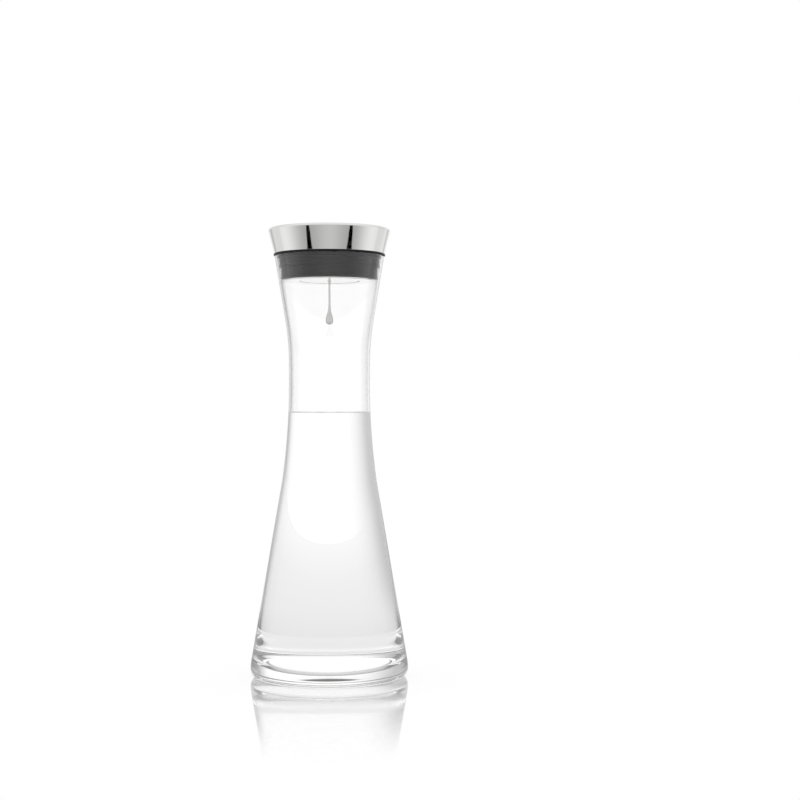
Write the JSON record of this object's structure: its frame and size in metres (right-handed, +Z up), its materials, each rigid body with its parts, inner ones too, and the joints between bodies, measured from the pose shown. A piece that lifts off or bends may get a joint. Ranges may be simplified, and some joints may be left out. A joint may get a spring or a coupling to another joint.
{
  "type": "water carafe with pouring stopper",
  "caption": "Waisted clear glass water carafe with a polished steel collared stopper whose pendulum valve opens when the carafe tips and shuts when it stands.",
  "frame": {"origin": "centre of the flat ring under the foot, on the table", "axes": "+Z up along the axis of the carafe; +X is the side on which the valve is shown opening; -Y is the front"},
  "size_m": [0.102, 0.102, 0.29],
  "materials": {
    "clear_glass": "clear, fire-polished",
    "polished_steel": "mirror-polished stainless steel",
    "black_silicone": "moulded, satin",
    "core_plastic": "moulded, matt"
  },
  "bodies": {
    "carafe": {"carafe_glass": "clear_glass"},
    "stopper": {"outer_collar": "polished_steel", "pour_funnel": "polished_steel", "stopper_core": "core_plastic", "stopper_gasket": "black_silicone", "seat_ring": "polished_steel", "seat_oring": "black_silicone", "funnel_oring": "black_silicone"},
    "washer": {"seat_washer": "black_silicone"},
    "valve": {"valve_disc": "polished_steel", "pendulum_rod": "polished_steel", "drop_weight": "polished_steel", "rod_washer": "polished_steel", "cap_nut": "polished_steel"}
  },
  "joints": [
    {"name": "stopper_lift", "type": "slide", "parent": "carafe", "child": "stopper", "axis": [0, 0, 1], "range_m": [0, 0.05]},
    {"name": "washer_swivel", "type": "hinge", "parent": "stopper", "child": "washer", "pos_m": [0, 0, 0.2578], "axis": [0, 0, 1], "continuous": true},
    {"name": "valve_rock", "type": "hinge", "parent": "washer", "child": "valve", "pos_m": [-0.02119, 0, 0.2578], "axis": [0, -1, 0], "range_deg": [0, 20]}
  ]
}
